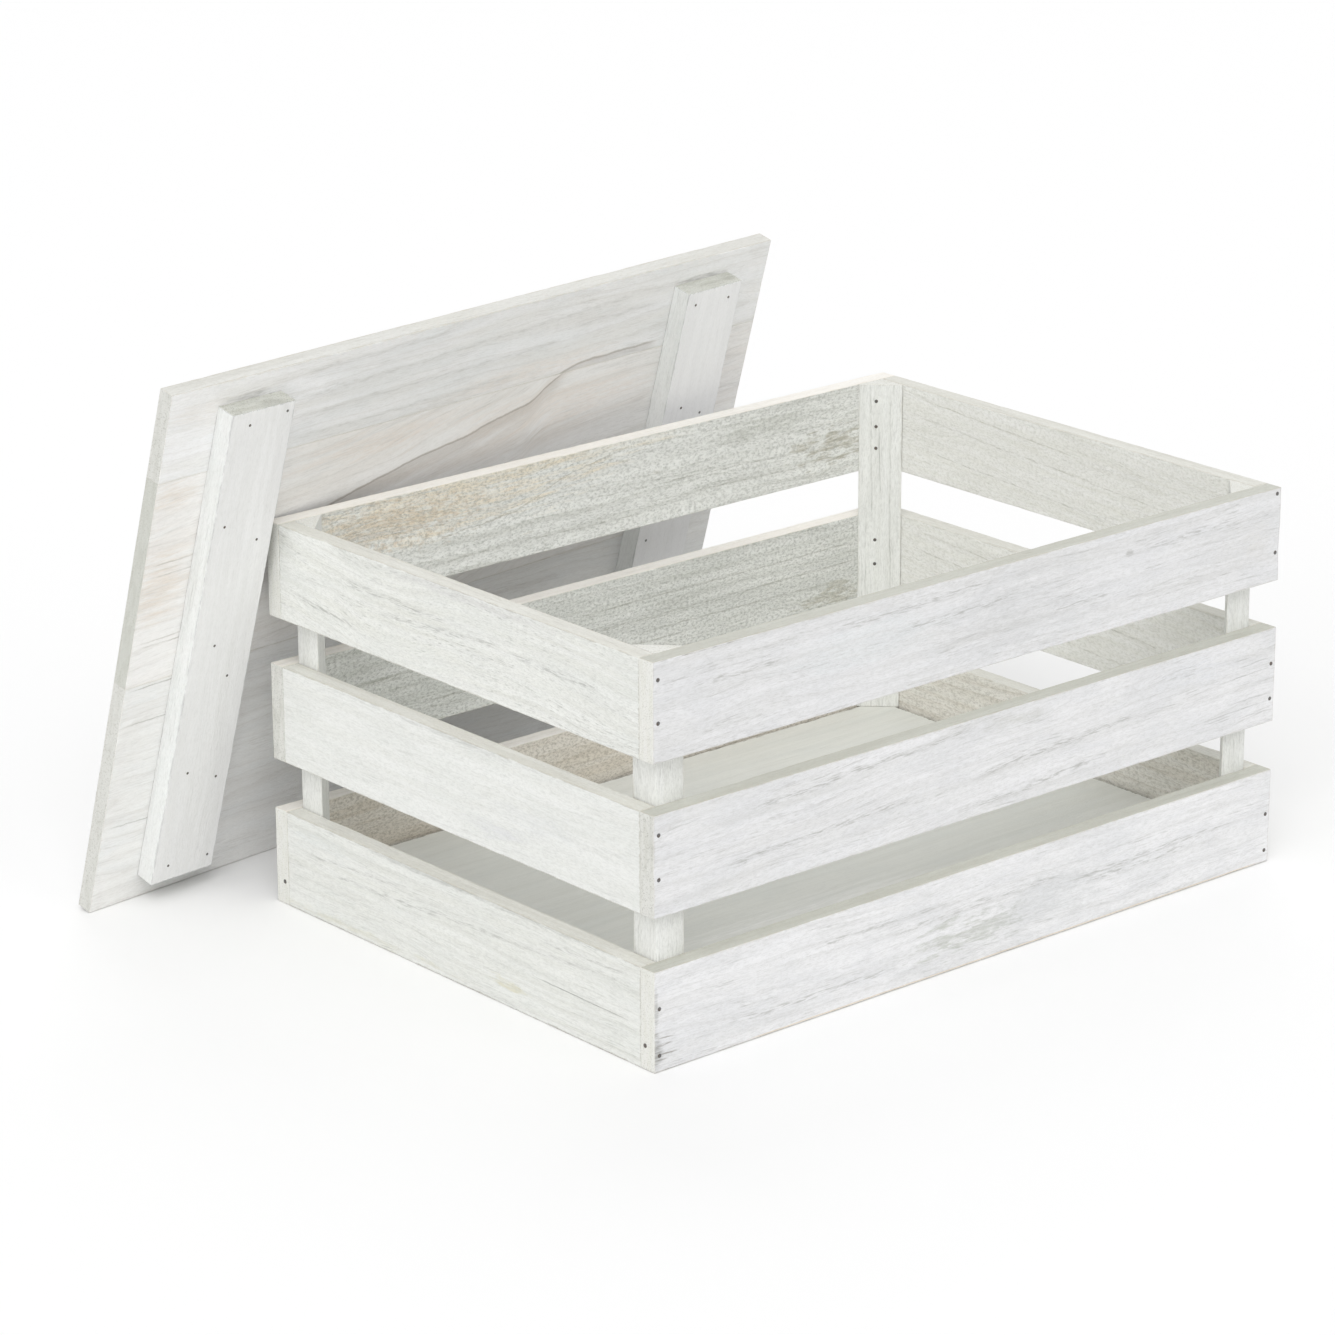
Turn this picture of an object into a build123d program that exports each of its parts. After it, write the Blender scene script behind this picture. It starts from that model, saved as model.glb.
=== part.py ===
"""Slatted apple crate with a loose lid that leans against its back.

Frame: millimetres, +Z up.  The crate's long side runs along X and its front faces -Y.
The floor is z = 0, and the origin is the centre of the footprint of crate and lid together.
"""

from build123d import *
from math import cos, radians, sin, tan
import os

# ---- crate: driving dimensions -------------------------------------------------------
CRATE_LENGTH = 410.0
CRATE_DEPTH = 288.0
SLAT_THICKNESS = 9.5
# underside and top edge of each row of slats, above the ground
ROWS = {"bottom": (0.0, 49.5), "middle": (75.3, 125.0), "top": (149.5, 197.8)}
CRATE_HEIGHT = ROWS["top"][1]

POST_LEG = 16.5  # the two square sides of a triangular corner post
POST_GAP = 0.4  # slit between a post and the short slats beside it

FLOOR_THICKNESS = 8.6
FLOOR_TOP = 16.3
FLOOR_GAP = 1.0  # slit between the floor panel and the slats around it

# ---- lid: driving dimensions ---------------------------------------------------------
LID_LENGTH = 414.5
LID_THICKNESS = 8.6
# widths of the edge-glued boards, from the edge that stands on the ground
LID_BOARDS = {"lower": 129.5, "middle": 113.5, "upper": 47.4}
LID_WIDTH = sum(LID_BOARDS.values())

BATTEN_WIDTH = 40.0
BATTEN_THICKNESS = 10.9
BATTEN_CENTRES = {"left": 49.7, "right": 365.0}  # along the lid, at the middle of the batten
BATTEN_SKEW = {"left": -0.55, "right": 0.35}  # degrees that the batten is out of square
BATTEN_END_LOW = 13.4  # from the standing edge to the batten's end
BATTEN_END_HIGH = 12.4  # from the other long edge to the batten's end

# ---- how the lid leans ---------------------------------------------------------------
LID_LEAN = 15.5  # degrees from upright
LID_YAW = 5.7  # degrees that the lid is turned from the crate's back
LID_FOOT_X = -285.7  # where the lid's left foot stands
LID_CLEARANCE = 0.5  # between the lid's underside and the crate's back rim

# ---- nails ---------------------------------------------------------------------------
# radius of the heads: stout ones in the slats, thin brads in the battens
SLAT_NAIL_HEAD = 1.0
POST_NAIL_HEAD = 0.9
END_NAIL_HEAD = 1.1
FLOOR_NAIL_HEAD = 1.0
BATTEN_NAIL_HEAD = 0.7
NAIL_HEAD_THICKNESS = 0.5
NAIL_HEAD_PROUD = 0.12
NAIL_RADIUS = 0.5
NAIL_POINT = 1.6
SLAT_NAIL_LENGTH = 22.0
POST_NAIL_LENGTH = 17.0
END_NAIL_LENGTH = 24.0
FLOOR_NAIL_LENGTH = 24.0
BATTEN_NAIL_LENGTH = 17.5

SLAT_NAIL_INSET = 3.0  # from the end of the long slat
# nail heights above a slat's underside, at its left and at its right end
SLAT_NAIL_HEIGHTS = {
    "bottom": {"left": (8.0, 31.0), "right": (6.5, 26.0)},
    "middle": {"left": (18.5, 40.0), "right": (12.5, 31.0)},
    "top": {"left": (19.0, 39.5), "right": (15.0, 45.5)},
}
POST_NAIL_OFFSET = 9.3  # along the slanted face, from the long slat
POST_NAIL_HEIGHTS = {"bottom": (24.0, 38.0), "middle": (22.5, 36.0), "top": (13.0, 25.0, 39.0)}
END_NAIL_INSET = 6.5  # from the crate's corner
END_NAIL_HEIGHT = 11.8
# staggered pairs in each batten: (distance along the lid, distance from the standing edge)
BATTEN_NAILS = {
    "left": (
        (63.9, 21.2),
        (38.0, 22.4),
        (60.5, 68.5),
        (40.6, 76.1),
        (56.3, 128.1),
        (44.3, 148.3),
        (60.5, 203.9),
        (37.5, 216.3),
        (43.0, 270.4),
        (66.5, 273.0),
    ),
    "right": (
        (352.5, 21.0),
        (377.0, 24.5),
        (356.0, 71.0),
        (374.5, 77.5),
        (352.0, 130.0),
        (375.5, 145.5),
        (373.0, 202.5),
        (357.1, 208.7),
        (351.0, 270.4),
        (375.9, 270.0),
    ),
}

HALF_LENGTH = CRATE_LENGTH / 2
HALF_DEPTH = CRATE_DEPTH / 2
INNER_X = HALF_LENGTH - SLAT_THICKNESS
INNER_Y = HALF_DEPTH - SLAT_THICKNESS
SIDES_X = {"left": -1, "right": 1}
SIDES_Y = {"front": -1, "back": 1}


def block(low, high):
    """A plain board between two opposite corners."""
    size = [b - a for a, b in zip(low, high)]
    middle = [(a + b) / 2 for a, b in zip(low, high)]
    return Pos(*middle) * Box(*size)


def long_slat(side, row):
    """A front or back slat: it runs the crate's full length."""
    low, high = ROWS[row]
    outer = SIDES_Y[side] * HALF_DEPTH
    inner = SIDES_Y[side] * INNER_Y
    return block((-HALF_LENGTH, min(outer, inner), low), (HALF_LENGTH, max(outer, inner), high))


def short_slat(side, row):
    """A left or right slat: it fits between the front and back slats."""
    low, high = ROWS[row]
    outer = SIDES_X[side] * HALF_LENGTH
    inner = SIDES_X[side] * INNER_X
    return block((min(outer, inner), -INNER_Y, low), (max(outer, inner), INNER_Y, high))


def corner_post(side_x, side_y):
    """A triangular post: two square sides against the slats, the slanted one facing inwards."""
    sx, sy = SIDES_X[side_x], SIDES_Y[side_y]
    x, y = sx * (INNER_X - POST_GAP), sy * INNER_Y
    section = make_face(Polyline((x, y), (x - sx * POST_LEG, y), (x, y - sy * POST_LEG), close=True))
    post = extrude(section, amount=CRATE_HEIGHT - FLOOR_TOP, dir=(0, 0, 1))
    return Pos(0, 0, FLOOR_TOP) * post


def floor_panel():
    """The floor: one sheet inside the slats, with a slit all round."""
    x, y = INNER_X - FLOOR_GAP, INNER_Y - FLOOR_GAP
    return block((-x, -y, FLOOR_TOP - FLOOR_THICKNESS), (x, y, FLOOR_TOP))


def nail(point, direction, length, head):
    """A nail whose head of a given radius sits at a point of the surface, driven along a direction."""
    outline = Polyline(
        (0, NAIL_HEAD_PROUD),
        (head, NAIL_HEAD_PROUD),
        (head, NAIL_HEAD_PROUD - NAIL_HEAD_THICKNESS),
        (NAIL_RADIUS, NAIL_HEAD_PROUD - NAIL_HEAD_THICKNESS),
        (NAIL_RADIUS, NAIL_POINT - length),
        (0, -length),
        close=True,
    )
    body = revolve(make_face(Plane.XZ * outline), Axis.Z)
    upward = tuple(-d for d in direction)
    return Plane(origin=point, z_dir=upward).location * body


def slat_nails(side_x, side_y):
    """Nails at one corner, through the long slats into the ends of the short ones."""
    x = SIDES_X[side_x] * (HALF_LENGTH - SLAT_NAIL_INSET)
    y = SIDES_Y[side_y] * HALF_DEPTH
    inwards = (0, -SIDES_Y[side_y], 0)
    return [
        nail((x, y, ROWS[row][0] + height), inwards, SLAT_NAIL_LENGTH, SLAT_NAIL_HEAD)
        for row, ends in SLAT_NAIL_HEIGHTS.items()
        for height in ends[side_x]
    ]


def post_nails(side_x, side_y):
    """Nails square through a post's slanted face into the long slats behind it."""
    sx, sy = SIDES_X[side_x], SIDES_Y[side_y]
    along = POST_NAIL_OFFSET / 2**0.5
    x = sx * (INNER_X - POST_GAP - POST_LEG + along)
    y = sy * (INNER_Y - along)
    outwards = (sx / 2**0.5, sy / 2**0.5, 0)
    return [
        nail((x, y, ROWS[row][0] + height), outwards, POST_NAIL_LENGTH, POST_NAIL_HEAD)
        for row, heights in POST_NAIL_HEIGHTS.items()
        for height in heights
    ]


def end_nails(side_x):
    """Two nails low in an end of the crate, lengthwise into the bottom long slats."""
    sx = SIDES_X[side_x]
    y = HALF_DEPTH - END_NAIL_INSET
    return [
        nail((sx * HALF_LENGTH, sy * y, END_NAIL_HEIGHT), (-sx, 0, 0), END_NAIL_LENGTH, END_NAIL_HEAD)
        for sy in SIDES_Y.values()
    ]


def floor_nails():
    """Nails from below, through the floor panel and up into each post."""
    third = POST_LEG / 3
    return [
        nail(
            (sx * (INNER_X - POST_GAP - third), sy * (INNER_Y - third), FLOOR_TOP - FLOOR_THICKNESS),
            (0, 0, 1),
            FLOOR_NAIL_LENGTH,
            FLOOR_NAIL_HEAD,
        )
        for sx in SIDES_X.values()
        for sy in SIDES_Y.values()
    ]


# The lid is built flat: X along its length, Y across it from the standing edge,
# Z out of the underside, which is z = 0.
def lid_board(name):
    """One of the edge-glued boards of the lid's panel."""
    names = list(LID_BOARDS)
    start = sum(LID_BOARDS[n] for n in names[: names.index(name)])
    return block((0, start, -LID_THICKNESS), (LID_LENGTH, start + LID_BOARDS[name], 0))


def lid_batten(side):
    """A cross batten on the lid's underside, a little out of square."""
    length = LID_WIDTH - BATTEN_END_LOW - BATTEN_END_HIGH
    middle = (BATTEN_CENTRES[side], BATTEN_END_LOW + length / 2, BATTEN_THICKNESS / 2)
    return Pos(*middle) * Rot(0, 0, BATTEN_SKEW[side]) * Box(BATTEN_WIDTH, length, BATTEN_THICKNESS)


def batten_nails(side):
    """Staggered pairs of nails through a batten into the boards."""
    return [
        nail((x, y, BATTEN_THICKNESS), (0, 0, -1), BATTEN_NAIL_LENGTH, BATTEN_NAIL_HEAD)
        for x, y in BATTEN_NAILS[side]
    ]


def lid_place():
    """Where the flat lid goes: turned by the yaw, tipped by the lean, its edge on the ground."""
    yaw, lean = radians(LID_YAW), radians(LID_LEAN)
    along = Vector(cos(yaw), sin(yaw), 0)
    away = Vector(-sin(yaw), cos(yaw), 0)
    underside = -away * cos(lean) - Vector(0, 0, 1) * sin(lean)
    # the underside passes just behind the rim at the crate's back left corner
    back_to_foot = (CRATE_HEIGHT * tan(lean) + LID_CLEARANCE) / cos(yaw)
    foot_y = HALF_DEPTH + back_to_foot - (-HALF_LENGTH - LID_FOOT_X) * tan(yaw)
    return Plane(origin=(LID_FOOT_X, foot_y, 0), x_dir=along, z_dir=underside).location


def crate_parts():
    """Every node of the crate, as name and solid."""
    parts = {"floor_panel": floor_panel(), "floor_nails": floor_nails()}
    for row in ROWS:
        for side in SIDES_Y:
            parts[f"{side}_{row}_slat"] = long_slat(side, row)
        for side in SIDES_X:
            parts[f"{side}_{row}_slat"] = short_slat(side, row)
    for side_x in SIDES_X:
        parts[f"end_nails_{side_x}"] = end_nails(side_x)
        for side_y in SIDES_Y:
            corner = f"{side_y}_{side_x}"
            parts[f"corner_post_{corner}"] = corner_post(side_x, side_y)
            parts[f"slat_nails_{corner}"] = slat_nails(side_x, side_y)
            parts[f"post_nails_{corner}"] = post_nails(side_x, side_y)
    return parts


def lid_parts():
    """Every node of the lid, leaning in its place."""
    parts = {f"lid_board_{name}": lid_board(name) for name in LID_BOARDS}
    for side in SIDES_X:
        parts[f"lid_batten_{side}"] = lid_batten(side)
        parts[f"batten_nails_{side}"] = batten_nails(side)
    place = lid_place()
    return {
        name: [place * s for s in solid] if isinstance(solid, list) else place * solid
        for name, solid in parts.items()
    }


def as_compound(solid):
    """One shape per node: a group of fasteners is a compound of separate solids."""
    return Compound(children=solid) if isinstance(solid, list) else solid


def main():
    """Write one STEP file per node, with the origin under the middle of the whole footprint."""
    parts = {name: as_compound(solid) for name, solid in {**crate_parts(), **lid_parts()}.items()}
    boxes = [part.bounding_box() for part in parts.values()]
    middle_x = (min(b.min.X for b in boxes) + max(b.max.X for b in boxes)) / 2
    middle_y = (min(b.min.Y for b in boxes) + max(b.max.Y for b in boxes)) / 2
    print(f"crate centre at x {-middle_x:.2f}, y {-middle_y:.2f} from the origin")
    os.makedirs("parts", exist_ok=True)
    for name, part in parts.items():
        export_step(Pos(-middle_x, -middle_y, 0) * part, f"parts/{name}.step")


main()
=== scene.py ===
"""Looks of a slatted apple crate with a loose lid: worn whitewash over rough sawn timber.

Every board is modelled in its own frame, centred on itself: X along the grain, Y across it, Z out of its
show side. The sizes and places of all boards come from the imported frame. Units are metres; the finishes
give their sizes in millimetres.
"""

import logging
import math
from dataclasses import dataclass, field, replace
from enum import Enum
from functools import cache
from typing import Iterable, Sequence

import bmesh
import bpy
from mathutils import Matrix, Vector, noise


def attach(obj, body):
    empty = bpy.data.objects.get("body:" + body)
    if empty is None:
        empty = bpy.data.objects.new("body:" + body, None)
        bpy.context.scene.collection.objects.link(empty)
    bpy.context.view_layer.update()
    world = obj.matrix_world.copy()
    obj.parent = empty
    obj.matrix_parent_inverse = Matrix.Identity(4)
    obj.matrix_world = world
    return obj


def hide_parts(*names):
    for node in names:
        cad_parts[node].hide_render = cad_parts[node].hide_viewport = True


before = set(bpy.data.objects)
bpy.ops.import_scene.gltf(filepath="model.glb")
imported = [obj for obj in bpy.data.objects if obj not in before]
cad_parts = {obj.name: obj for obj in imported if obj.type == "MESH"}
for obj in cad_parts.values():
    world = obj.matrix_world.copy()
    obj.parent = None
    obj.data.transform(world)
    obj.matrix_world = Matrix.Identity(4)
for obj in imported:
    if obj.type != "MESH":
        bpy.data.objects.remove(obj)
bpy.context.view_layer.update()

MM = 0.001
NEAR = 1e-6  # lengths closer than this are taken as equal
FLAT = 0.999  # share of a face's normal on one axis from which on the face is shaded flat

Colour = tuple[float, float, float, float]
Pair = tuple[float, float]
Points = tuple[Pair, ...]
Socket = bpy.types.NodeSocket
Value = Socket | float | Sequence[float]
Inputs = dict[str | int, Value]

log = logging.getLogger("crate")


def tone(red: int, green: int, blue: int) -> Colour:
    """A paint colour given in everyday 0 to 255 steps, as the linear colour that a shader takes.

    Args:
        red: Red step.
        green: Green step.
        blue: Blue step.

    Returns:
        The linear colour with full opacity.
    """

    def linear(step: int) -> float:
        """One channel, from its display step to linear light."""
        share = step / 255
        return share / 12.92 if share <= 0.04045 else ((share + 0.055) / 1.055) ** 2.4

    return (linear(red), linear(green), linear(blue), 1.0)


class Side(Enum):
    """The four kinds of surface on a board, each with its own finish; the value is the material's place."""

    SHOW = 0
    BACK = 1
    EDGE = 2
    END = 3


class Slot(Enum):
    """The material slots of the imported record."""

    LONG_SLATS = "washed_long_slats"
    SHORT_SLATS = "washed_short_slats"
    POSTS = "washed_posts"
    FLOOR = "washed_floor"
    LID_BOARDS = "washed_lid_boards"
    BATTENS = "washed_battens"
    NAILS = "nail_steel"


# ---- wiring of material nodes ---------------------------------------------------------


@dataclass
class Bench:
    """Adds nodes to one material and wires them as they come."""

    material: bpy.types.Material

    def __post_init__(self) -> None:
        """Clear the material's own nodes."""
        self.material.use_nodes = True
        self.tree = self.material.node_tree
        self.tree.nodes.clear()

    def add(self, kind: str, inputs: Inputs | None = None, **settings: object) -> bpy.types.Node:
        """A node of one kind with its settings and inputs.

        Args:
            kind: Blender's name of the node type.
            inputs: What each input takes, by its name or place.
            **settings: Properties of the node.

        Returns:
            The new node.
        """
        node = self.tree.nodes.new(kind)
        for key, value in settings.items():
            setattr(node, key, value)
        for key, value in (inputs or {}).items():
            if isinstance(value, Socket):
                self.tree.links.new(value, node.inputs[key])
            else:
                node.inputs[key].default_value = value
        return node

    def attribute(self, name: str) -> Socket:
        """The vector that a board's mesh carries under a name."""
        return self.add("ShaderNodeAttribute", attribute_name=name).outputs["Vector"]

    def vector(self, operation: str, *vectors: Value) -> Socket:
        """The result of one of Blender's vector operations."""
        node = self.add("ShaderNodeVectorMath", dict(enumerate(vectors)), operation=operation)
        return node.outputs["Vector"]

    def axes(self, vector: Socket) -> tuple[Socket, Socket, Socket]:
        """The three numbers of a vector."""
        return tuple(self.add("ShaderNodeSeparateXYZ", {0: vector}).outputs)

    def math(self, operation: str, *numbers: Value) -> Socket:
        """The result of one of Blender's sums on numbers."""
        return self.add("ShaderNodeMath", dict(enumerate(numbers)), operation=operation).outputs[0]

    def rise(self, value: Socket, low: float, high: float) -> Socket:
        """A soft step from 0 at low to 1 at high.

        Args:
            value: The number that is compared.
            low: Where the step starts.
            high: Where it ends; below low, the step falls instead.

        Returns:
            A number from 0 to 1.
        """
        ends = (low, high, 0.0, 1.0) if low < high else (high, low, 1.0, 0.0)
        inputs = dict(zip(("From Min", "From Max", "To Min", "To Max"), ends))
        node = self.add("ShaderNodeMapRange", {"Value": value, **inputs}, interpolation_type="SMOOTHSTEP")
        return node.outputs["Result"]

    def grain(self, vector: Socket, size: Sequence[float], detail: float = 2.0, rough: float = 0.5) -> Socket:
        """Cloudy variation whose blotches have a given size along each axis.

        Args:
            vector: Where on the board.
            size: Length, width and depth of a blotch, in millimetres; the depth may be left out
                where it equals the width.
            detail: Number of finer octaves.
            rough: Strength of the finer octaves.

        Returns:
            A number round 0.5.
        """
        scaled = self.vector("DIVIDE", vector, [part * MM for part in (*size, size[-1])[:3]])
        inputs = {"Vector": scaled, "Scale": 1.0, "Detail": detail, "Roughness": rough}
        return self.add("ShaderNodeTexNoise", inputs, noise_dimensions="3D").outputs["Fac"]

    def blend(self, share: Socket, under: Value, over: Value) -> Socket:
        """One colour laid over another, by the share of the upper one."""
        return self.add("ShaderNodeMix", {"Factor": share, 6: under, 7: over}, data_type="RGBA").outputs[2]

    def weigh(self, share: Socket, strength: Value) -> Socket:
        """A mask made weaker or stronger."""
        return self.math("MULTIPLY", share, strength)

    def partly(self, mask: Socket, share: float) -> Socket:
        """A mask that only takes away a share: 1 where it is 1, and 1 less the share where it is 0."""
        return self.math("MULTIPLY_ADD", mask, share, 1 - share)

    def trace(self, along: Socket, points: Points) -> Socket:
        """A smooth curve through points, read at one place along the board.

        Args:
            along: Place along the board.
            points: Pairs of (along, across) in millimetres, in rising order.

        Returns:
            Distance across the board.
        """
        places, levels = [x * MM for x, _ in points], [y * MM for _, y in points]
        start, stop, low, high = places[0], places[-1], min(levels), max(levels)
        reach = self.add("ShaderNodeMapRange", {"Value": along, "From Min": start, "From Max": stop})
        curve = self.add("ShaderNodeFloatCurve", {"Value": reach.outputs["Result"]})
        marks = curve.mapping.curves[0].points
        for number, (x, y) in enumerate(zip(places, levels)):
            spot = ((x - start) / (stop - start), (y - low) / max(high - low, NEAR))
            if number < len(marks):
                marks[number].location = spot
            else:
                marks.new(*spot)
        for mark in marks:
            mark.handle_type = "AUTO_CLAMPED"
        curve.mapping.update()
        return self.math("ADD", self.weigh(curve.outputs[0], high - low), low)

    def shade(self, inputs: Inputs) -> bpy.types.Material:
        """Close the material with a shader of the given inputs.

        Args:
            inputs: What each input of the shader takes.

        Returns:
            The finished material.
        """
        shader = self.add("ShaderNodeBsdfPrincipled", inputs)
        self.add("ShaderNodeOutputMaterial", {"Surface": shader.outputs["BSDF"]})
        return self.material

    def surface(
        self, colour: Socket, dull: Socket, gloss: Pair, level: Socket, relief: Pair, inputs: Inputs
    ) -> bpy.types.Material:
        """Close the material with colour, gloss and a raised surface.

        Args:
            colour: Finished colour.
            dull: Mask that the roughness follows.
            gloss: Roughness where that mask is 0 and where it is 1.
            level: Level of the surface, from 0 to 1.
            relief: How strongly the level shows, and its height in millimetres.
            inputs: What other inputs of the shader take.

        Returns:
            The finished material.
        """
        strength, height = relief
        bump = self.add("ShaderNodeBump", {"Strength": strength, "Distance": height * MM, "Height": level})
        rough = self.add("ShaderNodeMapRange", {"Value": dull, "To Min": gloss[0], "To Max": gloss[1]})
        made = {"Base Color": colour, "Roughness": rough.outputs["Result"], "Normal": bump.outputs["Normal"]}
        return self.shade(made | inputs)


@dataclass
class Timber(Bench):
    """The bench of a timber material, which also holds where on the board a point lies.

    Attributes:
        place: Position from the board's centre.
        course: Position along, across and through the grain, in the board's own stretch of timber.
    """

    def __post_init__(self) -> None:
        """Read the board's own coordinates."""
        super().__post_init__()
        self.place = self.attribute(Board.PLACE)
        self.course = self.attribute(Board.GRAIN)

    def patches(
        self, size: Sequence[float], low: float, high: float, detail: float = 3.0, rough: float = 0.6
    ) -> Socket:
        """Blotches along the grain, which fade in from one noise level to another."""
        return self.rise(self.grain(self.course, size, detail, rough), low, high)

    def sway(self, size: Sequence[float], reach: float, detail: float = 4.0, rough: float = 0.65) -> Socket:
        """Cloudy variation round nought along the grain."""
        return self.weigh(self.math("SUBTRACT", self.grain(self.course, size, detail, rough), 0.5), reach)


# ---- finishes ---------------------------------------------------------------------------


@dataclass(frozen=True)
class StainAndLightPatch:
    """A ragged patch on a board, given in millimetres in the board's own frame: a stain, and once a patch of
    painted light.

    Attributes:
        along: Centre along the grain.
        across: Centre across the grain.
        reach_along: Half length.
        reach_across: Half width.
        colour: What the timber has taken on there; for the patch of painted light on the floor panel, the lit
            tone.
        strength: How much of it shows.
        ragged: How far noise eats into the outline.
        flames: Length of the tongues that it ends in.
    """

    along: float
    across: float
    reach_along: float
    reach_across: float
    colour: Colour
    strength: float = 0.6
    ragged: float = 1.4
    flames: float = 16

    def mask(self, bench: Timber) -> Socket:
        """Where the patch shows.

        Args:
            bench: The material's bench.

        Returns:
            A mask.
        """
        off = bench.vector("SUBTRACT", bench.place, (self.along * MM, self.across * MM, 0.0))
        off = bench.vector("DIVIDE", off, (self.reach_along * MM, self.reach_across * MM, 1.0))
        far = bench.add("ShaderNodeVectorMath", {0: off}, operation="LENGTH").outputs["Value"]
        edge = bench.rise(bench.math("ADD", far, bench.sway((self.flames, 3.5), self.ragged)), 1.0, 0.2)
        threads = bench.partly(bench.patches((9, 1.1), 0.36, 0.62), 0.6)
        return bench.weigh(bench.weigh(edge, threads), self.strength)


@dataclass(frozen=True)
class GrainLine:
    """One line that runs with the grain: a growth ring, a crack or a scratch; all in millimetres.

    Attributes:
        points: Pairs of (along, across) that it passes through, in the board's own frame.
        colour: Line colour.
        width: Full width.
        strength: How much of it shows.
        broken: 0 for an unbroken line, 1 for a dotted one.
        waver: How far it strays from the points.
        skirt: How far the line fades out towards the board's lower edge; 0 for a plain line.
        fade: Length over which its ends fade out.
    """

    points: Points
    colour: Colour
    width: float = 1.2
    strength: float = 0.6
    broken: float = 0.0
    waver: float = 1.2
    skirt: float = 0.0
    fade: float = 12

    def mask(self, bench: Timber) -> Socket:
        """Where the line shows.

        Args:
            bench: The material's bench.

        Returns:
            A mask.
        """
        width, waver, skirt = self.width * MM, self.waver * MM, self.skirt * MM
        along, across, _ = bench.axes(bench.place)
        level = bench.math("ADD", across, bench.sway((12, 12), 2 * waver))
        level = bench.math("SUBTRACT", level, bench.trace(along, self.points))
        mask = bench.rise(bench.math("ABSOLUTE", level), width / 2, 0.0)
        if skirt:
            below = bench.weigh(bench.rise(level, -skirt, 0.0), bench.rise(level, width / 4, 0.0))
            mask = bench.math("MAXIMUM", mask, bench.weigh(below, 0.45))
        start, stop = self.points[0][0] * MM, self.points[-1][0] * MM
        fade = min(self.fade * MM, (stop - start) / 3)
        mask = bench.weigh(mask, bench.rise(along, start, start + fade))
        mask = bench.weigh(mask, bench.rise(along, stop, stop - fade))
        if self.broken:
            mask = bench.weigh(mask, bench.partly(bench.patches((8, 0.9), 0.44, 0.64), self.broken))
        return bench.weigh(mask, self.strength)


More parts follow.
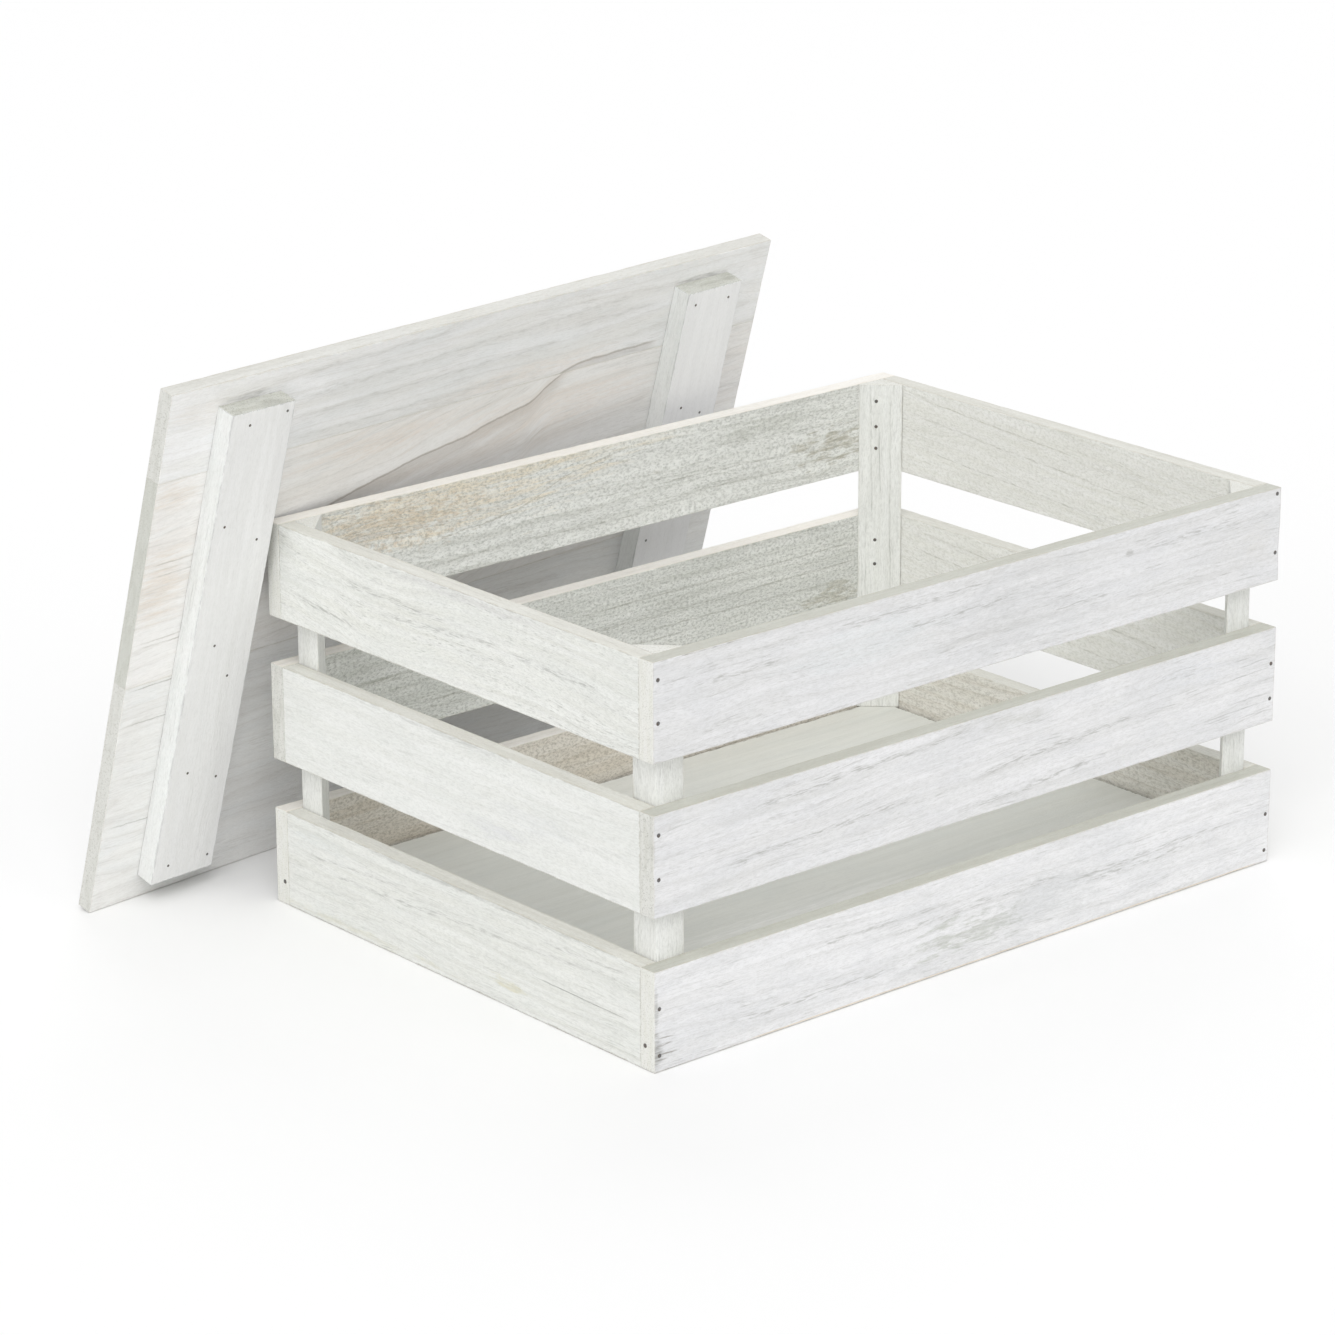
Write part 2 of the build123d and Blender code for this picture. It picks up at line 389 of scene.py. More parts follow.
@dataclass(frozen=True)
class WoodFinish:
    """Whitewash over timber, worn back along the grain; all lengths in millimetres.

    Attributes:
        name: The material's name.
        wash: Paint where it lies thick.
        thin: Tone where the paint is thin.
        tint: Slow cloudy patches.
        pore: Dark open pores and streaks.
        arris: Timber where the edges are rubbed bare; on the floor panel, painted shade along its edges.
        bands: Strength of the bands that run with the grain.
        band_width: Width of such a band.
        clouds: Strength of the cloudy patches.
        cloud_size: Size of such a patch along and across.
        pores: Strength of the pore streaks.
        pore_cut: Noise levels between which a streak fades in; lower means more streaks.
        pore_size: Length and width of a streak.
        patchy: How unevenly the streaks are spread, from 0 to 1.
        patch_size: Size of a group of streaks along and across.
        speckle: Strength of the sawn speckle.
        speckle_size: Length and width of a speck.
        rings: Strength of the growth rings.
        ring_gap: Distance between two rings.
        ring_colour: Their colour.
        slope: Drift of the grain across the board per unit of length.
        wander: How far the grain strays from straight.
        figure: Pairs of (along, across) of a bend in the grain, if it has one.
        edge_wear_and_shade: Strength of the rubbed edges, and on the floor panel of the painted edge shade.
        edge_wear_and_shade_reach: Width of the rubbed edges, and of the floor panel's painted edge shade.
        stains_and_light_patches: Patches: stains, and on the floor panel's top a patch of painted light.
        lines: Single lines.
        relief: Height of the raised grain.
        gloss: Roughness of paint and of bare timber.
    """

    name: str
    wash: Colour = tone(232, 232, 233)
    thin: Colour = tone(219, 219, 218)
    tint: Colour = tone(222, 223, 225)
    pore: Colour = tone(160, 160, 155)
    arris: Colour = tone(200, 197, 187)
    bands: float = 0.55
    band_width: float = 5
    clouds: float = 0.45
    cloud_size: Pair = (38, 12)
    pores: float = 0.45
    pore_cut: Pair = (0.51, 0.74)
    pore_size: Pair = (13, 0.8)
    patchy: float = 0.75
    patch_size: Pair = (60, 8)
    speckle: float = 0.18
    speckle_size: Pair = (2.4, 0.8)
    rings: float = 0.2
    ring_gap: float = 8
    ring_colour: Colour = tone(182, 181, 175)
    slope: float = 0.0
    wander: float = 2.5
    figure: Points = ()
    edge_wear_and_shade: float = 0.4
    edge_wear_and_shade_reach: float = 0.9
    stains_and_light_patches: tuple[StainAndLightPatch, ...] = ()
    lines: tuple[GrainLine, ...] = ()
    relief: float = 0.12
    gloss: Pair = (0.62, 0.85)

    def make(self) -> bpy.types.Material:
        """Build the material.

        Returns:
            The finished material.
        """
        bench = Timber(bpy.data.materials.new(self.name))
        height = self._lay_grain(bench)
        pores, rings = self._pores(bench), self._rings(bench, height)
        speckle = bench.patches(self.speckle_size, 0.42, 0.68, 5.0, 0.75)
        layers = [(bench.weigh(rings, self.rings), self.ring_colour)]
        # stains, and on the floor panel's top a patch of painted light
        layers += [(blot.mask(bench), blot.colour) for blot in self.stains_and_light_patches]
        layers += [(bench.weigh(speckle, self.speckle), self.pore)]
        layers += [(bench.weigh(pores, self.pores), self.pore)]
        layers += [(line.mask(bench), line.colour) for line in self.lines]
        # rubbed edges; on the floor panel this layer is painted shade along its edges
        layers.append((self._worn_and_shaded_edges(bench), self.arris))
        colour = self._paint(bench)
        for mask, over in layers:
            colour = bench.blend(mask, colour, over)
        fibre = bench.grain(bench.course, (5, 0.35), 3.0, 0.6)
        low = bench.math("ADD", bench.weigh(pores, 0.9), bench.weigh(speckle, 0.5))
        low = bench.math("ADD", low, bench.weigh(rings, 0.3))
        level = bench.math("SUBTRACT", bench.weigh(fibre, 0.8), low)
        return bench.surface(colour, low, self.gloss, level, (0.8, self.relief), {"Specular IOR Level": 0.25})

    def _lay_grain(self, bench: Timber) -> Socket:
        """Let the course follow the grain: across the board, less its bend, slope and wander.

        Args:
            bench: The material's bench.

        Returns:
            Distance across the grain.
        """
        along, across, through = bench.axes(bench.course)
        place_along, _, _ = bench.axes(bench.place)
        height = bench.math("ADD", across, bench.sway((110, 22), 4 * self.wander * MM, 2.0, 0.5))
        height = bench.math("SUBTRACT", height, bench.weigh(place_along, self.slope))
        if self.figure:
            height = bench.math("SUBTRACT", height, bench.trace(place_along, self.figure))
        bench.course = bench.add("ShaderNodeCombineXYZ", {0: along, 1: height, 2: through}).outputs[0]
        return height

    def _paint(self, bench: Timber) -> Socket:
        """Thick and thin paint in bands along the grain, with slow clouds over it.

        Args:
            bench: The material's bench.

        Returns:
            The paint's colour.
        """
        band = bench.patches((140, self.band_width), 0.40, 0.64, 4.0)
        cloud = bench.patches(self.cloud_size, 0.42, 0.66, 3.0, 0.55)
        colour = bench.blend(bench.weigh(band, self.bands), self.wash, self.thin)
        return bench.blend(bench.weigh(cloud, self.clouds), colour, self.tint)

    def _pores(self, bench: Timber) -> Socket:
        """Thin dark streaks, long and short, where the paint has worn out of the pores.

        Args:
            bench: The material's bench.

        Returns:
            A mask.
        """
        length, width = self.pore_size
        streak = bench.patches(self.pore_size, *self.pore_cut)
        short = bench.patches((length / 3, width / 2), *self.pore_cut, 2.0)
        groups = bench.partly(bench.patches(self.patch_size, 0.42, 0.60), self.patchy)
        return bench.math("MAXIMUM", bench.weigh(streak, groups), bench.weigh(short, 0.5))

    def _rings(self, bench: Timber, height: Socket) -> Socket:
        """Growth rings: a soft rise that ends in a thin dark line, unevenly spaced.

        Args:
            bench: The material's bench.
            height: Distance across the grain.

        Returns:
            A mask.
        """
        uneven = bench.grain(bench.course, (300, 16))
        fine = bench.grain(bench.course, (9, 2.5), 3.0, 0.6)
        shift = bench.math("ADD", bench.weigh(uneven, 5.0), bench.weigh(fine, 0.35))
        turn = bench.math("FRACT", bench.math("ADD", bench.math("DIVIDE", height, self.ring_gap * MM), shift))
        return bench.weigh(bench.math("POWER", turn, 5.0), bench.rise(turn, 1.0, 0.94))

    def _worn_and_shaded_edges(self, bench: Timber) -> Socket:
        """Rubbed arrises, and the floor panel's painted edge shade: the middle one of the three distances to
        the board's sides.

        Args:
            bench: The material's bench.

        Returns:
            A mask.
        """
        reach = self.edge_wear_and_shade_reach * MM
        inside = bench.vector("ABSOLUTE", bench.place)
        x, y, z = bench.axes(bench.vector("SUBTRACT", bench.attribute(Board.HALF), inside))
        first, second, third = (bench.math("MAXIMUM", a, b) for a, b in ((x, y), (y, z), (x, z)))
        nearest = bench.math("MINIMUM", bench.math("MINIMUM", first, second), third)
        ragged = bench.math("ADD", nearest, bench.sway((9, 2), 4 * reach, 4.0, 0.7))
        return bench.weigh(bench.rise(ragged, reach, 0.1 * reach), self.edge_wear_and_shade)


@dataclass(frozen=True)
class EndGrainFinish:
    """Sawn end of a board: pricked with pores, in the curved bands of the rings.

    Attributes:
        name: The material's name.
        wash: Paint that stays on top.
        bare: Timber under it.
        pore: The pricks.
        cover: Share of bare timber that shows.
        smudge: Strength of large dark smudges.
        depth: Depth into the board over which the pattern holds, in millimetres.
    """

    name: str
    wash: Colour
    bare: Colour
    pore: Colour
    cover: float = 0.5
    smudge: float = 0.0
    depth: float = 1000

    def make(self) -> bpy.types.Material:
        """Build the material.

        Returns:
            The finished material.
        """
        bench = Timber(bpy.data.materials.new(self.name))
        bands = bench.patches((self.depth, 14, 2.2), 0.40, 0.66)
        pricks = bench.patches((self.depth, 0.7), 0.52, 0.70, 2.0)
        dark = bench.patches((self.depth, 22, 9), 0.48, 0.64)
        saw = bench.grain(bench.course, (self.depth / 2, 1.1, 26), 3.0, 0.6)
        colour = bench.blend(bench.weigh(bands, self.cover), self.wash, self.bare)
        colour = bench.blend(bench.weigh(dark, self.smudge), colour, self.pore)
        colour = bench.blend(bench.weigh(pricks, 0.5), colour, self.pore)
        level = bench.math("SUBTRACT", bench.weigh(saw, 0.8), pricks)
        return bench.surface(colour, pricks, (0.7, 0.92), level, (0.7, 0.12), {"Specular IOR Level": 0.2})


@dataclass(frozen=True)
class NailFinish:
    """Dull oxidised steel with a little rust."""

    name: str = "nail_steel_dull"
    steel: Colour = tone(106, 106, 106)
    rust: Colour = tone(112, 99, 88)

    def make(self) -> bpy.types.Material:
        """Build the material.

        Returns:
            The finished material.
        """
        bench = Bench(bpy.data.materials.new(self.name))
        where = bench.add("ShaderNodeTexCoord").outputs["Object"]
        patch = bench.rise(bench.grain(where, (0.8, 0.8), 3.0, 0.6), 0.45, 0.62)
        pits = bench.grain(where, (0.25, 0.25))
        colour = bench.blend(patch, self.steel, self.rust)
        return bench.surface(colour, patch, (0.45, 0.8), pits, (0.5, 0.05), {"Metallic": 0.4})


@cache
def material_of(finish: WoodFinish | EndGrainFinish) -> bpy.types.Material:
    """The material of a finish, made once and shared."""
    return finish.make()


# ---- boards -----------------------------------------------------------------------------

EXACT = 1e-7  # rounding that is allowed for in the boards' own coordinates
EDGE_APART = 7.0  # keeps the noise of one board's edges apart
SEED_APART = 3.1  # keeps the noise of neighbouring boards apart
CHIP_LENGTH = 6 * MM  # length of a usual chip along an edge
LEAST_GROWTH = -0.3  # how far the radius of an arris may shrink, as a share of it


@dataclass(frozen=True)
class Dress:
    """The finishes of one board, by side."""

    show: WoodFinish
    back: WoodFinish
    edge: WoodFinish
    end: EndGrainFinish

    def on(self, side: Side) -> WoodFinish | EndGrainFinish:
        """The finish on one side."""
        return {Side.SHOW: self.show, Side.BACK: self.back, Side.EDGE: self.edge, Side.END: self.end}[side]


@dataclass
class Board:
    """One piece of timber, modelled from the box that its frame node fills.

    Attributes:
        node: The frame node that it stands for.
        body: The body that it rides on.
        slot: The record's material slot; not used.
        dress: Its finishes.
        grain_axis: Direction of its grain.
        out_axis: Direction that its show side faces.
        seed: Picks its own stretch of timber.
        arris: Radius of its edges.
        chips: How much the arris radius varies.
        pitch: Distance between the cross sections of its mesh.
    """

    node: str
    body: str
    slot: Slot
    dress: Dress
    grain_axis: Vector
    out_axis: Vector
    seed: int
    arris: float = 0.35 * MM
    chips: float = 0.5 * MM
    pitch: float = 3 * MM

    PLACE = "board_place"
    GRAIN = "board_grain"
    HALF = "board_half"

    def build(self) -> bpy.types.Object:
        """Model the board, dress it and put it in its place.

        Returns:
            The finished piece.
        """
        turn, centre, size = self._measure()
        bm = bmesh.new()
        self._shape(bm, size)
        self._paint_sides(bm)
        return self._finish(bm, turn, centre, size)

    def _measure(self) -> tuple[Matrix, Vector, Vector]:
        """Read the node's box in the board's own frame.

        Returns:
            The frame's rotation, the box's centre in the row frame, and the box's size.
        """
        x = self.grain_axis.normalized()
        z = self.out_axis.normalized()
        turn = Matrix((x, z.cross(x), z)).transposed()
        points = [turn.transposed() @ v.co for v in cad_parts[self.node].data.vertices]
        low = Vector(min(p[i] for p in points) for i in range(3))
        high = Vector(max(p[i] for p in points) for i in range(3))
        return turn, turn @ ((low + high) / 2), high - low

    def _saw(self, bm: bmesh.types.BMesh, size: Sequence[float]) -> None:
        """Saw a bar of the given size."""
        bmesh.ops.create_cube(bm, size=1.0)
        bmesh.ops.scale(bm, vec=size, verts=bm.verts)

    def _round(self, bm: bmesh.types.BMesh) -> None:
        """Round every edge by the arris radius."""
        bmesh.ops.bevel(
            bm, geom=bm.edges[:], offset=self.arris, offset_type="OFFSET", segments=2, profile=0.5,
            material=-1, affect="EDGES",
        )

    def _shape(self, bm: bmesh.types.BMesh, size: Vector) -> None:
        """Saw the board, round its edges, cut it into short lengths and make its arrises uneven.

        Args:
            bm: The board's mesh.
            size: Length, width and thickness.
        """
        self._saw(bm, size)
        self._round(bm)
        for axis in (0, 1):
            span = size[axis] - 2 * self.arris
            edges = [e for e in bm.edges if abs(abs((e.verts[0].co - e.verts[1].co)[axis]) - span) < NEAR]
            bmesh.ops.subdivide_edges(bm, edges=edges, cuts=int(span / self.pitch), use_grid_fill=True)
        self._chip(bm, size / 2)

    def _chip(self, bm: bmesh.types.BMesh, half: Vector) -> None:
        """Let the radius of the arrises vary, always inwards.

        Args:
            bm: The board's mesh.
            half: Half the board's size.
        """
        for vert in bm.verts:
            near = [half[i] - abs(vert.co[i]) <= self.arris + EXACT for i in range(3)]
            if sum(near) != 2:
                continue
            run = near.index(False)
            where = Vector([0.0 if i == run else math.copysign(EDGE_APART, vert.co[i]) for i in range(3)])
            where += Vector((self.seed * SEED_APART, 0.0, 0.0))
            where[run] += vert.co[run] / CHIP_LENGTH
            rough = noise.noise(where) + 0.5 * noise.noise(where * 2.7)
            deep = max(0.0, noise.noise(where * 0.35 + Vector((5.0, 2.0, 9.0))) - 0.25) * 3
            grow = 1 + max(LEAST_GROWTH, rough * 0.6 + deep * self.chips / self.arris)
            for axis in range(3):
                if near[axis]:
                    gap = (half[axis] - abs(vert.co[axis])) * grow
                    vert.co[axis] = math.copysign(half[axis] - gap, vert.co[axis])

    def _paint_sides(self, bm: bmesh.types.BMesh) -> None:
        """Give every face the material of the side that it belongs to.

        Args:
            bm: The board's mesh.
        """
        bm.normal_update()
        for face in bm.faces:
            x, y, z = face.normal
            if abs(x) > max(abs(y), abs(z)):
                side = Side.END
            elif abs(y) > abs(z):
                side = Side.EDGE
            else:
                side = Side.SHOW if z > 0 else Side.BACK
            face.material_index = side.value
            face.smooth = max(abs(x), abs(y), abs(z)) < FLAT

    def _finish(self, bm: bmesh.types.BMesh, turn: Matrix, centre: Vector, size: Vector) -> bpy.types.Object:
        """Turn the mesh into a piece that carries its own coordinates and stands for its node.

        Args:
            bm: The board's mesh, in the board's own frame.
            turn: Rotation of the board's frame.
            centre: Where its centre goes.
            size: Length, width and thickness.

        Returns:
            The piece.
        """
        mesh = bpy.data.meshes.new(f"{self.node}_timber")
        bm.to_mesh(mesh)
        bm.free()
        own = Vector((self.seed * 1.37 % 7, self.seed * 0.73 % 5, self.seed * 0.41 % 3))
        count = len(mesh.vertices)
        for name, values in (
            (self.PLACE, [c for v in mesh.vertices for c in v.co]),
            (self.GRAIN, [c for v in mesh.vertices for c in v.co + own]),
            (self.HALF, list(size / 2) * count),
        ):
            mesh.attributes.new(name, "FLOAT_VECTOR", "POINT").data.foreach_set("vector", values)
        for side in Side:
            mesh.materials.append(material_of(self.dress.on(side)))
        mesh.transform(Matrix.Translation(centre) @ turn.to_4x4())
        piece = bpy.data.objects.new(mesh.name, mesh)
        bpy.context.scene.collection.objects.link(piece)
        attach(piece, self.body)
        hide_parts(self.node)
        log.info("%s: %d faces", piece.name, len(mesh.polygons))
        return piece


@dataclass
class Post(Board):
    """A three-sided corner post; its show side is the slanted one."""

    def _shape(self, bm: bmesh.types.BMesh, size: Vector) -> None:
        """Saw the post from a square bar by taking one corner off, round it and cut it into short lengths.

        Args:
            bm: The post's mesh.
            size: Length, width and thickness.
        """
        leg = size.y / math.sqrt(2)
        self._saw(bm, (size.x, leg, leg))
        geometry = bm.verts[:] + bm.edges[:] + bm.faces[:]
        cut = bmesh.ops.bisect_plane(
            bm, geom=geometry, plane_co=(0, 0, 0), plane_no=(0, 1, 1), clear_outer=True, dist=EXACT
        )
        rim = [e for e in cut["geom_cut"] if isinstance(e, bmesh.types.BMEdge)]
        bmesh.ops.holes_fill(bm, edges=rim, sides=0)
        bmesh.ops.rotate(bm, verts=bm.verts, matrix=Matrix.Rotation(math.radians(45), 3, "X"))
        bmesh.ops.translate(bm, verts=bm.verts, vec=(0, 0, size.z / 2))
        bmesh.ops.recalc_face_normals(bm, faces=bm.faces[:])
        self._round(bm)
        edges = [e for e in bm.edges if abs((e.verts[0].co - e.verts[1].co).x) > size.x * 0.9]
        bmesh.ops.subdivide_edges(bm, edges=edges, cuts=int(size.x / self.pitch), use_grid_fill=True)


# ---- the finishes in use ------------------------------------------------------------------

DARK_GREY = tone(128, 128, 122)
SOFT_GREY = tone(168, 168, 163)
EARTH = tone(112, 104, 88)
TAN = tone(226, 210, 182)
RUST_TAN = tone(202, 178, 146)


def strokes(
    rows: Sequence[tuple[float, float, float, float]], colour: Colour, **settings: float
) -> tuple[GrainLine, ...]:
    """Several straight lines with the grain.

    Args:
        rows: For each line where it starts and stops along the board, and its place across it there.
        colour: Their colour.
        **settings: Other values that all of them share.

    Returns:
        The lines.
    """
    return tuple(
        GrainLine(((start, first), (stop, last)), colour, **settings) for start, stop, first, last in rows
    )


FRONT = WoodFinish("front_wash")
FRONT_TOP = replace(
    FRONT, name="front_top_wash", slope=0.01,
    stains_and_light_patches=(
        StainAndLightPatch(25, 0.0, 62, 24, tone(198, 199, 199), 0.42, 2.4),
        StainAndLightPatch(98, 11.8, 4, 2.6, SOFT_GREY, 0.55, 1.6, 4),
        StainAndLightPatch(-80, 4, 70, 15, tone(226, 230, 231), 0.5, 2.4, 40),
        StainAndLightPatch(190, 0.0, 14, 14, tone(222, 220, 216), 0.4, 1.5),
    ),
    lines=strokes(
        (
            (-100, 10, 15, 17.5), (-60, 30, 5.5, 7.5), (98, 165, 11.5, 14), (40, 90, -6, -5),
            (-185, -120, 8, 8.5),
        ),
        SOFT_GREY, width=5, strength=0.6, broken=1.0, waver=3,
    )
    + strokes(((-205, -150, 23.6, 23.6),), DARK_GREY, width=1.1, strength=0.8, broken=1.0, waver=0.3),
)
FRONT_MIDDLE = replace(
    FRONT, name="front_middle_wash", wash=tone(235, 235, 236), thin=tone(221, 221, 220), slope=0.035,
    stains_and_light_patches=(
        StainAndLightPatch(24, 18, 30, 5, tone(200, 200, 194), 0.5, 2.0),
        StainAndLightPatch(150, 14, 40, 10, tone(224, 226, 230), 0.5, 2.0),
    ),
    lines=strokes(
        ((-5, 108, -4.5, 1.5), (-18, 80, -21, -15), (-150, 0, 14, 20), (-165, -40, -9.5, -6)), SOFT_GREY,
        width=5, strength=0.7, broken=0.9, waver=3,
    )
    + strokes(
        (
            (160, 205, 3.5, 4.5), (168, 205, -9.5, -9), (150, 205, -14, -13), (175, 205, 9, 9.5),
            (178, 205, -18, -18),
        ),
        DARK_GREY, width=1.2, strength=0.5, broken=0.6,
    ),
)
FRONT_BOTTOM = replace(
    FRONT, name="front_bottom_wash", wash=tone(240, 240, 241), thin=tone(227, 227, 227),
    stains_and_light_patches=(
        StainAndLightPatch(-4, -8, 34, 9, tone(180, 184, 172), 0.6, 5.0),
        StainAndLightPatch(50, -3, 60, 20, tone(204, 206, 206), 0.4, 2.0), StainAndLightPatch(-204, -14, 5, 12, DARK_GREY, 0.7, 2.2),
        StainAndLightPatch(-204, 6, 2, 18, SOFT_GREY, 0.6, 2.2),
    ),
    lines=strokes(
        (
            (-110, -25, 10.5, 11), (-165, -50, -12.5, -13.5), (60, 180, 1, 3), (70, 150, -2, -2),
            (-60, 60, 4, 6),
        ),
        SOFT_GREY, width=5, strength=0.6, broken=1.0, waver=3,
    )
    + strokes(((-150, 200, -24, -24),), TAN, width=1.2, strength=0.7, waver=0.3)
    + strokes(
        ((-205, -193, -12, -12), (-205, -190, -16, -17), (-205, -196, -19, -19), (-205, -192, -8, -9)),
        EARTH, width=1.2, strength=0.7, broken=0.4,
    ),
)
SHORT = WoodFinish(
    "short_wash", wash=tone(238, 239, 235), thin=tone(226, 227, 219), tint=tone(228, 230, 226),
    pore=tone(146, 148, 141), arris=tone(176, 172, 160), edge_wear_and_shade=0.5, edge_wear_and_shade_reach=0.7,
)
SHORT_TOP = replace(
    SHORT, name="short_top_wash", pores=0.5, pore_cut=(0.51, 0.72), pore_size=(6, 0.7), patch_size=(70, 6),
    figure=((-144, 12), (-90, 5), (-50, 1), (12, 4), (144, -2)),
    stains_and_light_patches=(
        StainAndLightPatch(20, 22, 90, 4, tone(206, 204, 204), 0.5, 1.6),
        StainAndLightPatch(-132, 16, 12, 14, tone(190, 190, 182), 0.4, 2.0),
    ),
    lines=strokes(
        ((-30, 40, 0, 4), (40, 110, 3, 1), (-60, -15, -2, 1), (-125, -70, -8, -14), (-90, 0, 8, 6)),
        DARK_GREY, width=5, strength=0.45, broken=1.0, waver=2,
    ),
)
SHORT_MIDDLE = replace(
    SHORT, name="short_middle_wash", wash=tone(236, 237, 234), thin=tone(228, 229, 224), pores=0.2,
    rings=0.08,
    stains_and_light_patches=(
        StainAndLightPatch(62, -3, 40, 9, tone(219, 221, 221), 0.4, 2.2, 30),
        StainAndLightPatch(30, -14, 30, 6, tone(220, 221, 224), 0.5, 2.0),
        StainAndLightPatch(-5, 23.6, 90, 2.4, SOFT_GREY, 0.45, 3.0),
    ),
)
SHORT_BOTTOM = replace(
    SHORT, name="short_bottom_wash", wash=tone(235, 236, 232), thin=tone(223, 224, 217), pores=0.35,
    pore_size=(14, 0.7),
    stains_and_light_patches=(
        StainAndLightPatch(37, -13, 18, 3.4, tone(214, 210, 182), 0.6, 4.0),
        StainAndLightPatch(0.0, 24, 150, 2.2, SOFT_GREY, 0.5, 2.6),
        StainAndLightPatch(-105, 15, 34, 8, tone(220, 224, 223), 0.4, 2.2, 30),
        StainAndLightPatch(-70, -22, 70, 3, tone(216, 214, 192), 0.4, 4.0),
    ),
    lines=strokes(((56, 128, -3.6, -4.2),), DARK_GREY, width=0.9, strength=0.8, broken=0.35, waver=0.4)
    + strokes(
        ((48, 125, 9, 14), (-30, 60, 6, 9), (-120, -40, 7, 12), (-100, -10, 2, 5), (60, 130, 16, 18)),
        SOFT_GREY, width=3, strength=0.6, broken=0.9, waver=2,
    ),
)
ROUGH = WoodFinish(
    "rough_wash", wash=tone(240, 241, 236), thin=tone(222, 223, 215), tint=tone(226, 227, 221),
    pore=tone(144, 145, 137), speckle=0.5, speckle_size=(2.0, 1.1), pores=0.25, rings=0.3,
    ring_colour=tone(160, 160, 146), relief=0.25,
)
BACK_TOP_INSIDE = replace(
    ROUGH, name="back_top_inside", wash=tone(248, 249, 245), thin=tone(232, 233, 228),
    tint=tone(236, 237, 233),
    stains_and_light_patches=(
        StainAndLightPatch(115, 16, 130, 22, tone(248, 238, 218), 0.85, 3.0, 40),
        StainAndLightPatch(140, 10, 66, 15, RUST_TAN, 0.42, 4.4, 5),
        StainAndLightPatch(40, 23, 120, 7, tone(240, 230, 208), 0.6, 1.8, 40),
        StainAndLightPatch(-160, -6, 26, 12, tone(160, 152, 126), 0.6, 5.0),
        StainAndLightPatch(-120, 14, 60, 9, tone(196, 198, 188), 0.5, 2.4, 30),
    ),
    lines=(
        GrainLine(
            ((-20, 20), (20, 14), (60, 1), (110, -4)), tone(146, 138, 116), width=1.4, strength=0.5,
            broken=0.5, waver=2.5,
        ),
    )
    + strokes(
        (
            (60, 118, -15.5, -16.5), (-30, 60, -17, -15.5), (-60, 10, -4, -2), (-170, -40, -6, -3),
            (-150, -60, -14, -12),
        ),
        tone(124, 120, 102), width=1.3, strength=0.45, broken=0.8,
    ),
)
BACK_MIDDLE_INSIDE = replace(
    ROUGH, name="back_middle_inside", wash=tone(238, 239, 235), thin=tone(215, 217, 210),
    tint=tone(221, 223, 218), pore=tone(130, 131, 124), speckle=0.55,
    stains_and_light_patches=(
        StainAndLightPatch(-130, 8, 60, 16, tone(244, 245, 240), 0.6, 2.4, 30),
        StainAndLightPatch(-165, -16, 30, 7, tone(178, 173, 152), 0.6, 5.0),
    ),
    lines=strokes(
        (
            (-180, 20, 10.5, 9.5), (-178, 10, 0, -1), (-160, -20, -9, -8), (-60, 120, -14, -13),
            (30, 200, 6, 4),
        ),
        tone(134, 132, 116), width=1.6, strength=0.5, broken=0.7,
    ),
)
RIGHT_INSIDE = replace(
    ROUGH, name="right_inside", wash=tone(251, 251, 248), thin=tone(243, 243, 236),
    tint=tone(245, 245, 240), pore=tone(176, 176, 162), speckle=0.3, pores=0.15, rings=0.15,
    ring_colour=tone(190, 188, 168), slope=0.065,
    lines=strokes(
        ((-80, 112, -3, 9.5), (-60, 105, -18.5, -8)), tone(146, 144, 126), width=1.6, strength=0.4,
        broken=0.85,
    )
    + strokes(((-10, 105, 12, 19),), tone(176, 174, 156), width=1.4, strength=0.6, broken=0.7),
)
BROWN_INSIDE = replace(
    ROUGH, name="brown_inside", wash=tone(240, 235, 226), thin=tone(224, 214, 198),
    tint=tone(226, 220, 208), ring_colour=tone(170, 154, 132), pore=tone(136, 128, 112), speckle=0.5,
)
PALE_INSIDE = replace(
    BROWN_INSIDE, name="pale_inside", wash=tone(248, 246, 240), thin=tone(236, 231, 220),
    tint=tone(238, 237, 230), pore=tone(156, 152, 138), speckle=0.45,
)
RIM = WoodFinish(
    "rim_wash", wash=tone(230, 230, 224), thin=tone(217, 216, 207), tint=tone(223, 222, 214),
    pore=tone(166, 163, 150), arris=tone(196, 188, 170), pores=0.35, edge_wear_and_shade=0.4,
)
# The front rims are the rim paint made darker: painted shade that tones down the light falling on them.
FRONT_RIM_SHADED = replace(
    RIM, name="front_rim_painted_shade", wash=tone(208, 209, 201), thin=tone(194, 194, 183),
    tint=tone(201, 201, 192),
)
# The back rims are the rim paint made paler: painted light that offsets the lid's shadow on them. Their tan
# marks are real stains.
BACK_RIM_LIT = replace(
    RIM, name="back_rim_painted_light", wash=tone(252, 250, 245), thin=tone(243, 239, 231),
    tint=tone(247, 244, 238), pore=tone(206, 198, 182), arris=tone(220, 211, 194),
    stains_and_light_patches=(StainAndLightPatch(66, 0.0, 12, 4, RUST_TAN, 0.5), StainAndLightPatch(-60, 0.0, 20, 4, TAN, 0.5)),
)
# The floor panel's dark arris colour and strong edge wear are painted shade in the gaps along its edges.
PANEL_WITH_EDGE_SHADE = WoodFinish(
    "floor_wash_edge_shade", wash=tone(228, 229, 224), thin=tone(218, 219, 213), tint=tone(222, 224, 220),
    arris=tone(96, 92, 80), pores=0.12, speckle=0.06, rings=0.05, edge_wear_and_shade=0.7, edge_wear_and_shade_reach=1.2,
)
